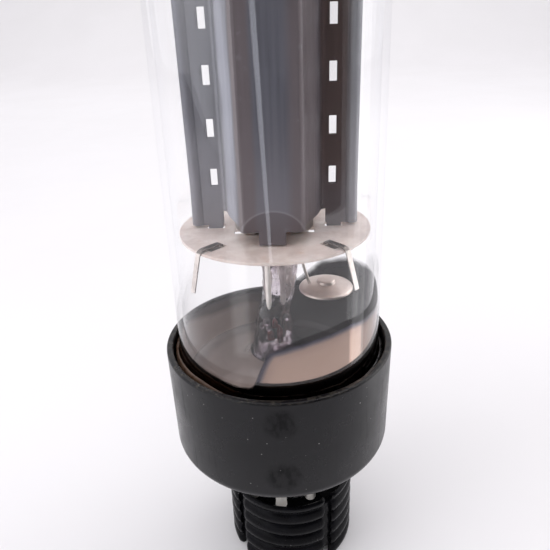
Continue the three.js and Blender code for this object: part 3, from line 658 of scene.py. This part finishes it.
def make_cement():
    count = 220
    profile = [(20.18, -7), (20.7, -7), (20.83, -3), (20.83, -2.2), (20.8, -1.8), (20.65, -1.55),
               (20.45, -1.45), (20.3, -1.4), (20.2, -1.5), (20.15, -1.8), (20.15, -2.4)]
    verts, rows = [], []
    for j, (radius, z) in enumerate(profile):
        rows.append(list(range(len(verts), len(verts) + count)))
        for i in range(count):
            a = 2 * math.pi * i / count
            x, y = math.cos(a), math.sin(a)
            lump = noise.fractal(Vector((x * 9, y * 9, z * 0.5)), 1.0, 2.0, 4)
            r, h = radius, z
            if z > -2.3:
                r = radius - 0.1 * abs(lump)
                h = z - 0.28 * abs(lump) * (1.0 if 3 < j < 10 else 0.3)
                left = clamp((-x - 0.35) / 0.3)
                front = clamp((-y - 0.1) / 0.3)
                h += left * (0.75 + (0.5 * front if radius < 20.5 else 0.0))
            verts.append((x * r, y * r, RIM + h))
    n = len(profile)
    faces = []
    for j in range(n):
        faces += stitch(rows[j], rows[(j + 1) % n])
    ring = make_object("cement_ring", verts, faces, CEMENT, 60)
    fit(ring, "tube", "cement", "base_cement")


# ---------------------------------------------------------------- bulb and metal film
BULB_OUT = [(17.9, -10.2), (18.85, -9.1), (19.5, -6.5), (19.78, -3.0), (19.84, 0.0), (19.82, 4.0),
            (19.7, 20.0), (19.6, 32.0), (19.45, 45.0), (19.28, 58.0), (19.05, 70.0)]
BULB_IN = [(17.05, -9.3), (17.75, -8.3), (18.3, -6.1), (18.58, -3.0), (18.66, 0.0), (18.64, 4.0),
           (18.52, 20.0), (18.42, 32.0), (18.27, 45.0), (18.1, 58.0), (17.88, 70.0)]


def dome(radius, height, start, count=22):
    out = []
    for i in range(1, count + 1):
        a = math.pi / 2 * i / count
        out.append((radius * math.cos(a) ** 0.9 if i < count else 0.0, start + height * math.sin(a)))
    return out


def make_bulb():
    outer = curve_through(BULB_OUT, 4) + dome(19.05, 11.98, 70)
    inner = curve_through(BULB_IN, 4) + dome(17.88, 10.8, 70)
    profile = [(r, RIM + z) for r, z in outer] + [(r, RIM + z) for r, z in reversed(inner)]
    bulb = lathe("bulb_envelope", profile, GLASS, 160, angle=80, closed=True)
    fit(bulb, "tube", "bulb_glass", "glass_bulb")


# height of the film's edge above the rim, by direction from the front towards +X
FILM_EDGE = [(-180, 1.25), (-166, 1.35), (-136, 1.6), (-110, 2.0), (-85, 2.9), (-62, 2.3), (-40, 1.2),
             (-20, 0.2), (-12.6, 0.3), (-10.8, 1.2), (-8.4, 3.6), (-5.8, 5.8), (-2.8, 7.6), (7.2, 8.5),
             (18.2, 9.2), (29.2, 9.7), (43.2, 10.1), (56, 9.6), (70, 9.3), (82, 9.7), (96, 11.6),
             (112, 12.3), (130, 11.9), (152, 9.0), (166, 4.4), (180, 1.25)]


def film_height(turn):
    turn = (turn + 180) % 360 - 180
    for (a, za), (b, zb) in zip(FILM_EDGE, FILM_EDGE[1:]):
        if a <= turn <= b:
            t = (turn - a) / (b - a)
            return za + (zb - za) * t
    return FILM_EDGE[0][1]


def film_radius(z):
    """The film as it looks through the glass wall: a little inside the outer face."""
    for (ra, za), (rb, zb) in zip(BULB_OUT, BULB_OUT[1:]):
        if za <= z <= zb:
            return ra + (rb - ra) * (z - za) / (zb - za) - 0.4
    return BULB_OUT[0][0] - 0.4


def film_edge_points():
    points = []
    for i in range(720):
        turn = -180 + 0.5 * i
        near = [film_height(turn + d) for d in (-1.6, -0.8, 0, 0.8, 1.6)]
        points.append((math.radians(turn) * 19.4, sum(near) / 5 + 0.55 * math.cos(math.radians(turn))))
    return points


def make_film():
    """Two thin faces: the mirror against the glass, and the dark inside a hair further in."""
    count = 480
    low = -7.6
    rim_line = film_edge_points()
    depths = [0.0, 0.1, 0.2, 0.35, 0.5, 0.7, 0.9, 1.2, 1.6, 2.1, 2.8, 3.6]
    for name, inset, material in (("film_outer", 0.0, MIRROR), ("film_inner", 0.07, INSIDE)):
        columns, edge, warm = [], [], []
        verts = []
        for i in range(count):
            turn = -180 + 360 * i / count
            across = math.radians(turn) * 19.4
            near = int(i * 1.5)
            top = rim_line[near][1]
            window = [rim_line[(near + k) % 720] for k in range(-14, 15)]
            heights = [top - d for d in depths if top - d > low + 0.5]
            rest = len(depths) + 8 - len(heights)
            bottom = heights[-1]
            heights += [bottom + (low - bottom) * (k + 1) / rest for k in range(rest)]
            column = []
            for z in heights:
                x, y = azimuth_point(turn, film_radius(z) - inset)
                column.append(len(verts))
                verts.append((x, y, RIM + z))
                gap = min(math.hypot((across - a + 61) % 121.9 - 61, z - h) for a, h in window)
                soft = 1.0 - 0.65 * clamp((turn - 78) / 25) * clamp((178 - turn) / 12)
                edge.append(min(gap, top - z) / 10.0 * soft)
                # painted light: the inside of the film is paler on the left side, and more so below a
                # height
                side = clamp((-(turn + 12)) / 14.0) * clamp((turn + 172) / 20.0)
                start = -1.6 + 3.9 * clamp((turn + 130) / 40.0)
                warm.append(side * (0.28 + 0.72 * clamp((start - z) / 1.2)))
            columns.append(column)
        faces = []
        for a, b in zip(columns, columns[1:] + columns[:1]):
            faces += [[a[j], b[j], b[j + 1], a[j + 1]] for j in range(len(a) - 1)]
        obj = make_object(name, verts, faces, material, 80, False)
        paint(obj, edge=edge, warm=warm)
        fit(obj, "tube", "bulb_glass", "glass_bulb")


# ---------------------------------------------------------------- stem
def stem_section(half_x, half_y, z, power, shift, count=64):
    ring = []
    front = 1.0 - 0.36 * clamp((z - 6.5) / 2.5)
    for i in range(count):
        a = 2 * math.pi * i / count
        c, s = math.cos(a), math.sin(a)
        x = half_x * math.copysign(abs(c) ** (2 / power), c)
        y = half_y * math.copysign(abs(s) ** (2 / power), s)
        ring.append((x + shift, y * front if y < 0 else y, z))
    return ring


# half width, half depth, height above the rim, squareness, shift to +X
STEM = [(16.9, 16.9, -9.4, 2.0, 0.0), (15.2, 15.2, -8.9, 2.0, 0.0), (11.2, 11.2, -7.9, 2.0, 0.0),
        (7.8, 7.8, -6.2, 2.0, -0.1), (5.7, 5.9, -4.0, 2.0, -0.3), (4.3, 5.3, -1.2, 2.1, -0.7),
        (3.7, 5.7, 1.6, 2.2, -0.8), (2.9, 6.0, 4.6, 2.5, -0.9), (2.9, 6.2, 7.6, 2.8, -0.3),
        (3.1, 6.3, 11.0, 3.0, 0.3), (3.3, 6.3, 14.4, 3.0, 0.6), (3.3, 6.3, 17.0, 3.0, 0.7),
        (3.1, 6.1, 18.6, 2.8, 0.7), (2.3, 5.4, 19.2, 2.6, 0.7)]


def make_stem():
    sections = curve_through(STEM, 5)
    verts, rows = [], []
    count = 72
    for half_x, half_y, z, power, shift in sections:
        rows.append(list(range(len(verts), len(verts) + count)))
        for x, y, h in stem_section(half_x, half_y, z, power, shift, count):
            size = 0.08 + 0.6 * clamp((z + 4) / 4) * (1.0 if z < 8 else 0.6)
            n = noise.fractal(Vector((x * 0.5, y * 0.5, h * 0.42)), 1.0, 2.0, 3)
            out = Vector((x - shift, y)).normalized() if z > -7 else Vector((0, 0))
            verts.append((x + out.x * n * size, y + out.y * n * size, RIM + h))
    faces = []
    for low, high in zip(rows, rows[1:]):
        faces += stitch(low, high)
    faces.append(rows[-1])
    # underside of the flare and the bore that leads down to the exhaust tube
    under = [(16.4, -10.4), (11.0, -9.0), (7.0, -7.3), (4.6, -5.2), (3.0, -3.0), (2.0, -0.9), (0.6, 0.2)]
    last = rows[0]
    for radius, z in under:
        row = list(range(len(verts), len(verts) + count))
        for i in range(count):
            a = 2 * math.pi * i / count
            verts.append((radius * math.cos(a), radius * math.sin(a), RIM + z))
        faces += [[last[i], row[i], row[(i + 1) % count], last[(i + 1) % count]] for i in range(count)]
        last = row
    faces.append(last)
    stem = make_object("stem_press", verts, faces, CLEAR, 70)
    fit(stem, "tube", "stem_glass", "glass_stem")
    bowl = [(18.72, -7.7), (18.2, -8.2), (17.2, -8.55), (15.2, -8.45), (11.2, -7.65), (8.6, -6.5),
            (6.9, -5.1), (5.9, -3.5)]
    floor = [(r, RIM + z + 0.25) for r, z in curve_through(bowl, 6)]
    lining = lathe("film_floor", floor, INSIDE, 160, angle=80, fix_normals=False)
    edge = [1.0] * len(lining.data.vertices)
    # painted light: the film on the bulb's floor is paler on the left, a little less near the wall
    warm = []
    for v in lining.data.vertices:
        turn = math.degrees(math.atan2(v.co.x, -v.co.y))
        inner = 1.0 - 0.3 * clamp((math.hypot(v.co.x, v.co.y) / MM - 15.5) / 2.0)
        side = clamp((-(turn + 2)) / 16.0) * clamp((turn + 172) / 20.0)
        warm.append(0.44 * inner * side)
    paint(lining, edge=edge, warm=warm)
    fit(lining, "tube", "bulb_glass", "glass_bulb")
    seals = ((-1.3, 4.2, -1.15, 1.9), (0.2, 5.0, 0.5, 1.2), (-0.5, 6.4, -0.45, 4.6))
    for k, (x0, z0, x1, z1) in enumerate(seals):
        route = [(x0, -4.7, RIM + z0), ((x0 + x1) / 2, -4.9, RIM + (z0 + z1) / 2), (x1, -4.8, RIM + z1)]
        seal = wire(f"lead_seal_{k + 1}", route, 0.5, SEAL, 16, 6, 4)
        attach(seal, "tube")
    drops = ((-1.9, 6.2, 0.75), (-1.6, 4.9, 0.6), (-2.9, 5.4, 0.5), (1.9, 7.2, 0.6))
    for k, (x, z, size) in enumerate(drops):
        profile = [(size * math.sin(math.pi * i / 10), RIM + z - size * 1.3 * math.cos(math.pi * i / 10))
                   for i in range(11)]
        drop = lathe(f"stem_drop_{k + 1}", profile, CLEAR, 24, (x, -5.9), 80)
        fit(drop, "tube", "stem_glass", "glass_stem")
    tube = refined("exhaust_tube", "exhaust_pipe", CLEAR, 0.3, 4)
    fit(tube, "tube", "stem_glass", "exhaust_tube")


# ---------------------------------------------------------------- anode
SHEET = 0.3
ANODE_LOW = RIM + 23.9
ANODE_HIGH = RIM + 67.4
BOX_HALF = 8.5
FACE_HALF = 4.93
FACE_Y = 10.94
WING_X = 12.6
CURL_X = 13.85
CURL_R = 1.02
NOTCH_X = 9.33
TAB_HALF = 2.26  # half the width of the tab in the middle of a sheet
TAB_IN = 9.55  # the tab on each wing, from here
TAB_OUT = 12.15  # to here
SLOT_X = 10.5
SLOT_W = 1.3
SLOT_H = 3.16
SLOT_PITCH = 8.58
SLOT_FIRST = RIM + 31.17


def anode_half_path(curled):
    """Right half of one sheet, seen from above, from the middle of its face to its wing."""
    wing_y = -0.4
    bends = [(FACE_HALF - 0.25, -FACE_Y + 0.28), (FACE_HALF + 0.25, -FACE_Y + 0.75),
             (FACE_HALF + 0.55, -FACE_Y + 1.6), (FACE_HALF + 1.0, -FACE_Y + 3.0),
             (BOX_HALF - 1.6, -5.6), (BOX_HALF - 0.75, -3.4), (BOX_HALF - 0.3, -1.7),
             (BOX_HALF - 0.05, -0.95), (BOX_HALF + 0.25, -0.55), (BOX_HALF + 0.7, wing_y)]
    path = [(0.0, -FACE_Y + 0.25), (1.2, -FACE_Y + 0.25), (TAB_HALF, -FACE_Y + 0.25), (3.4, -FACE_Y + 0.25)]
    path += curve_through(bends, 4)
    wing = (NOTCH_X, TAB_IN, SLOT_X - SLOT_W / 2, SLOT_X + SLOT_W / 2, 11.7, TAB_OUT, 12.5)
    path += [(x, wing_y) for x in wing]
    if curled:
        path.append((WING_X + 0.2, wing_y + 0.02))
        for i in range(19):
            a = math.radians(-150 + 16.5 * i)
            path.append((CURL_X + CURL_R * math.cos(a), 0.12 + CURL_R * math.sin(a)))
    return path


def sheet_kept(x, z):
    """True where the sheet has metal: its end cut-outs, tabs and slots are left out."""
    x = abs(x)
    low_edge, high_edge = ANODE_LOW + 2.1, ANODE_HIGH - 2.35
    if z < ANODE_LOW - 0.16 or z > ANODE_HIGH:
        return TAB_IN < x < TAB_OUT
    if z < ANODE_LOW:
        return x < TAB_HALF or TAB_IN < x < TAB_OUT
    if z < low_edge:
        return x < TAB_HALF or x > NOTCH_X
    if z < low_edge + 0.55:
        return x < FACE_HALF + 0.5 or x > NOTCH_X
    if z > high_edge - 2.2 and x < TAB_HALF:
        return False
    if z > high_edge and x < NOTCH_X:
        return False
    if abs(x - SLOT_X) < SLOT_W / 2:
        for k in range(4):
            start = SLOT_FIRST + SLOT_PITCH * k
            if start < z < start + SLOT_H:
                return False
    return True


def make_anode_sheet(name, front, node):
    right = anode_half_path(front)
    path = [(-x, y) for x, y in reversed(right[1:])] + right
    levels = {ANODE_LOW - 0.85, ANODE_LOW - 0.16, ANODE_LOW, ANODE_LOW + 2.1, ANODE_LOW + 2.65,
              ANODE_HIGH - 4.55, ANODE_HIGH - 2.35, ANODE_HIGH, ANODE_HIGH + 0.85}
    for k in range(4):
        levels.update((SLOT_FIRST + SLOT_PITCH * k, SLOT_FIRST + SLOT_PITCH * k + SLOT_H))
    for k in range(9):
        levels.add(ANODE_LOW + 0.9 * k + 0.4)
    for k in range(12):
        levels.add(RIM + 33.2 + 2.9 * k)
    levels = sorted(levels)
    spaced = [levels[0]]
    for z in levels[1:]:
        if z - spaced[-1] > 0.05:
            spaced.append(z)
    levels = spaced
    verts, faces = [], []
    index = {}

    def vert(i, j):
        if (i, j) not in index:
            x, y = path[i]
            z = levels[j]
            down = (RIM + 32 - z) / 8
            out = (abs(x) - 12.4) / 1.6
            if down > 0 and out > 0:
                x += math.copysign(0.16 * min(down, 1.1) ** 1.5 * min(out, 1), x)
            wave = noise.noise(Vector((x * 0.25, y * 0.3, z * 0.045)))
            y += wave * 0.12 * min(abs(x) / 8.0, 1)
            index[(i, j)] = len(verts)
            verts.append((x, y, z))
        return index[(i, j)]

    for i in range(len(path) - 1):
        middle = (path[i][0] + path[i + 1][0]) / 2
        outer = abs(middle) > WING_X - 0.2
        for j in range(len(levels) - 1):
            z = (levels[j] + levels[j + 1]) / 2
            if outer and not ANODE_LOW < z < ANODE_HIGH:
                continue
            if sheet_kept(middle, z):
                faces.append([vert(i, j), vert(i + 1, j), vert(i + 1, j + 1), vert(i, j + 1)])
    if not front:
        verts = [(-x, -y, z) for x, y, z in verts]
    obj = make_object(name, verts, faces, ANODE, 30)
    body = obj.modifiers.new("sheet", "SOLIDIFY")
    body.thickness = SHEET * MM
    body.offset = 0.0
    round_edges(obj, 0.06, 2, 50)
    fit(obj, "tube", "anode_coating", node)
    return obj


def make_anode():
    make_anode_sheet("anode_sheet_front", True, "anode_front")
    make_anode_sheet("anode_sheet_rear", False, "anode_rear")


# ---------------------------------------------------------------- small parts
def make_small_parts():
    for node, material, slot, bevel in (
            ("mica_bottom", MICA, "mica", 0.05),
            ("mica_top", MICA, "mica", 0.05),
            ("beam_plate_left", BEAM, "beam_steel", 0.05),
            ("beam_plate_right", BEAM, "beam_steel", 0.05),
            ("cathode_sleeve", CATHODE, "cathode_coating", 0.05),
            ("heater", HEATER, "heater_coating", 0.0),
            ("control_grid", GRID, "grid_metal", 0.0),
            ("screen_grid", GRID, "grid_metal", 0.0)):
        fit(refined(node, node + "_piece", material, bevel), "tube", slot, node)
    for k in range(4):
        node = f"mica_spring_{k + 1}"
        fit(refined(node, node + "_strip", SPRING, 0.05, 2), "tube", "bright_nickel", node)
        turn = (43.2, -43.2, 136.8, -136.8)[k]
        sides = [azimuth_point(turn + s * 90, 0.9) for s in (-1, 1)]
        ends = [azimuth_point(turn, r) for r in (12.5, 15.8)]
        pairs = ((ends[0], sides[0]), (ends[1], sides[0]), (ends[1], sides[1]), (ends[0], sides[1]))
        ring = [(end[0] + side[0], end[1] + side[1]) for end, side in pairs]
        verts = [(x, y, MICA_LOW + h) for h in (0.08, 0.2) for x, y in ring]
        fit(make_object(node + "_foot", verts, BOX_FACES, FOOT), "tube", "bright_nickel")
    pan = [(0.0, 1.56), (1.3, 1.58), (1.6, 1.55), (1.74, 1.42), (1.78, 1.15), (1.86, 0.98), (2.05, 0.95),
           (2.4, 0.92), (3.2, 0.72), (4.1, 0.48), (4.75, 0.27), (5.05, 0.1), (5.18, -0.1),
           (5.19, -0.3), (5.1, -0.35), (5.0, -0.3), (4.95, -0.05), (4.6, 0.12), (3.2, 0.45),
           (1.7, 0.72), (0.0, 0.95)]
    x, y, z = 9.5, -0.8, RIM + 10.95
    disc = lathe("getter_dish", [(r, z + h) for r, h in pan], PAN, 80, (x, y), 40)
    fit(disc, "tube", "bright_nickel", "getter_pan")
    top = MICA_LOW - 0.34
    rise = ((6.3, z + 0.95), (6.15, z + 1.5), (5.9, z + 2.3), (5.1, z + 5.2), (3.6, top))
    route = [(across, -1.3, height) for across, height in rise]
    fit(wire("getter_support", route, 0.3, BRIGHT), "tube", "bright_nickel", "getter_wire")
    for k in range(6):
        low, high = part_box(f"lead_{k + 1}")
        cx, cy = (low.x + high.x) / 2 / MM, (low.y + high.y) / 2 / MM
        start, end = low.z / MM, high.z / MM
        route = [(cx, cy, start), (cx, cy, start + 1.5), (cx, cy, (start + end) / 2), (cx, cy, end)]
        lead = wire(f"lead_{k + 1}_wire", route, 0.53, LEAD, 20, 5, 5)
        fit(lead, "tube", "bright_nickel", f"lead_{k + 1}")


make_sleeve()
make_base()
make_pins()
make_cement()
make_bulb()
make_film()
make_stem()
make_anode()
make_small_parts()


# ---------------------------------------------------------------- floor, light and camera
def make_floor():
    half, rise, radius = 1.6, 0.8, 0.5
    back = 1.6
    outline = [(-0.34, -0.03), (-0.33, -0.008), (-0.31, 0.0)]
    outline += [(-0.31 + (back - radius + 0.31) * i / 12, 0.0) for i in range(1, 13)]
    for i in range(1, 13):
        a = math.radians(90 * i / 12)
        outline.append((back - radius + radius * math.sin(a), radius - radius * math.cos(a)))
    outline.append((back, rise))
    verts, faces = [], []
    for y, z in outline:
        verts += [(-half / MM, y / MM, z / MM), (half / MM, y / MM, z / MM)]
    for i in range(len(outline) - 1):
        faces.append([2 * i, 2 * i + 1, 2 * i + 3, 2 * i + 2])
    floor = make_object("studio_floor", verts, faces, floor_material(), 80)


def make_world():
    world = bpy.data.worlds.new("studio")
    bpy.context.scene.world = world
    world.use_nodes = True
    tree = world.node_tree
    tree.nodes.clear()

    def node(kind, **settings):
        n = tree.nodes.new(kind)
        for key, value in settings.items():
            setattr(n, key, value)
        return n

    def facing(direction, start, end, low, high):
        dot = node("ShaderNodeVectorMath", operation="DOT_PRODUCT")
        tree.links.new(coord.outputs["Generated"], dot.inputs[0])
        dot.inputs[1].default_value = Vector(direction).normalized()
        rng = node("ShaderNodeMapRange", interpolation_type="SMOOTHSTEP")
        tree.links.new(dot.outputs["Value"], rng.inputs["Value"])
        for key, value in (("From Min", start), ("From Max", end), ("To Min", low), ("To Max", high)):
            rng.inputs[key].default_value = value
        return rng.outputs[0]

    coord = node("ShaderNodeTexCoord")
    dark = facing((0.5, -1.0, 0.0), 0.2, 0.85, 1.0, 0.35)
    window = facing((-0.9, -0.35, 0.1), 0.9, 0.99, 0.0, 0.9)
    scaled = node("ShaderNodeMath", operation="ADD")
    tree.links.new(dark, scaled.inputs[0])
    tree.links.new(window, scaled.inputs[1])
    back = node("ShaderNodeBackground")
    back.inputs["Color"].default_value = (0.97, 0.96, 1.0, 1)
    strength = node("ShaderNodeMath", operation="MULTIPLY")
    strength.inputs[1].default_value = 1.12
    tree.links.new(scaled.outputs[0], strength.inputs[0])
    tree.links.new(strength.outputs[0], back.inputs["Strength"])
    seen = node("ShaderNodeBackground")
    seen.inputs["Color"].default_value = (0.95, 0.925, 0.95, 1)
    path = node("ShaderNodeLightPath")
    mix = node("ShaderNodeMixShader")
    tree.links.new(path.outputs["Is Camera Ray"], mix.inputs[0])
    tree.links.new(back.outputs[0], mix.inputs[1])
    tree.links.new(seen.outputs[0], mix.inputs[2])
    out = node("ShaderNodeOutputWorld")
    tree.links.new(mix.outputs[0], out.inputs[0])


def soft_light(name, place, aim, width, height, watts, tint=(1, 1, 1)):
    light = bpy.data.lights.new(name, "AREA")
    light.shape = "RECTANGLE"
    light.size, light.size_y = width, height
    light.energy = watts
    light.color = tint
    obj = bpy.data.objects.new(name, light)
    bpy.context.scene.collection.objects.link(obj)
    obj.location = place
    obj.rotation_euler = (Vector(aim) - Vector(place)).to_track_quat("-Z", "Y").to_euler()
    obj.visible_camera = False


def make_camera():
    pan, pitch, roll, turn = -0.004, 0.441, -0.038, 0.039
    ahead = Vector((math.sin(pan) * math.cos(pitch), math.cos(pan) * math.cos(pitch), -math.sin(pitch)))
    right = Vector((math.cos(pan), -math.sin(pan), 0.0))
    up = right.cross(ahead)
    level_right = right * math.cos(roll) + up * math.sin(roll)
    level_up = up * math.cos(roll) - right * math.sin(roll)
    spin = Matrix.Rotation(turn, 3, "Z")
    place = spin @ Vector((0.0, -95.53, RIM + 58.27)) + Vector((0.09, 0.0, 0.0))
    columns = [spin @ level_right, spin @ level_up, spin @ -ahead]
    matrix = Matrix([[c[i] for c in columns] for i in range(3)]).to_4x4()
    matrix.translation = place * MM
    data = bpy.data.cameras.new("camera")
    data.lens = 35.84
    data.sensor_width = 36.0
    data.clip_start = 0.001
    data.clip_end = 50.0
    camera = bpy.data.objects.new("camera", data)
    camera.matrix_world = matrix
    bpy.context.scene.collection.objects.link(camera)
    bpy.context.scene.camera = camera


def make_flags():
    """Dark cards behind the camera and one bright edge: they show only in reflections."""
    g = Graph("dark_card")
    g.link(g.mix(g.noise(60), (0.022, 0.016, 0.014), (0.034, 0.027, 0.025)), "Base Color")
    g.set(Roughness=0.8)
    corners = [(-95, -140), (150, -140), (205, -60)]
    verts = [(x, y, z) for x, y in corners for z in (22, 340)]
    flag = make_object("dark_card", verts, [[0, 2, 3, 1], [2, 4, 5, 3]], g.mat, 10, False)
    g = Graph("bright_edge")
    g.link(g.mix(g.noise(60), (0.8, 0.86, 1.0), (0.9, 0.93, 1.0)), "Emission Color")
    g.set(Emission_Strength=1.15, Roughness=0.8)
    verts = [(-31, -117, 150), (-19, -117, 150), (-1.8, -113, 36), (-7.2, -113, 36)]
    edge = make_object("bright_edge", verts, [[0, 1, 2, 3]], g.mat, 30, False)
    for card in (flag, edge):
        card.visible_camera = False
        card.visible_diffuse = False
        card.visible_shadow = False


make_floor()
make_world()
soft_light("softbox_left", (-0.42, -0.20, 0.32), (0, 0, 0.08), 0.3, 0.5, 0.7, (0.97, 0.98, 1.0))
bpy.data.objects["softbox_left"].visible_glossy = False
soft_light("softbox_right", (0.5, 0.25, 0.35), (0, 0, 0.06), 0.4, 0.4, 0.8, (1.0, 0.985, 0.98))
soft_light("overhead", (0.0, -0.15, 0.75), (0, 0, 0), 0.9, 0.9, 0.95)
soft_light("strip_left", (-0.063, -0.09, 0.125), (0, 0, 0.125), 0.034, 0.25, 0.02)
soft_light("strip_right", (0.08, -0.003, 0.125), (0, 0, 0.125), 0.026, 0.25, 0.02)
for strip in ("strip_left", "strip_right"):
    bpy.data.objects[strip].visible_diffuse = False
soft_light("backdrop", (0.0, 0.75, 1.1), (0, 1.5, 0.25), 1.6, 0.6, 5.3)
make_camera()
make_flags()
bpy.context.scene.view_settings.view_transform = "Standard"
